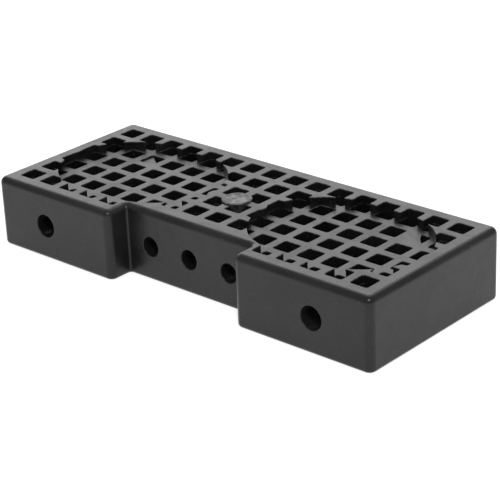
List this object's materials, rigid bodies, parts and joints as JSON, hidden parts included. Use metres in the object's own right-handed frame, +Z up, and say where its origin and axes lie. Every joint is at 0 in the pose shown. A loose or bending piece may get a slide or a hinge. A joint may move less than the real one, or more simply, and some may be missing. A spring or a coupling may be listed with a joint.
{
  "type": "levelling block",
  "caption": "Flat black plastic levelling block with an egg-crate deck, two shallow obround recesses, a front notch and cross holes in its front walls.",
  "frame": {"origin": "middle of the block's plan, on the ground", "axes": "+X along the block, +Y towards the rear wall, away from the notch, +Z up"},
  "size_m": [0.303, 0.123, 0.0477],
  "materials": {
    "black_plastic": "satin, fine moulded grain"
  },
  "bodies": {
    "root": {"centre_disc": "black_plastic", "left_cell_web": "black_plastic", "left_deck": "black_plastic", "left_end_wall": "black_plastic", "left_front_wall": "black_plastic", "left_grid": "black_plastic", "left_notch_side_wall": "black_plastic", "middle_deck": "black_plastic", "middle_grid": "black_plastic", "notch_back_wall": "black_plastic", "rear_wall": "black_plastic", "right_cell_web": "black_plastic", "right_deck": "black_plastic", "right_end_wall": "black_plastic", "right_front_wall": "black_plastic", "right_grid": "black_plastic", "right_notch_side_wall": "black_plastic"}
  },
  "joints": []
}
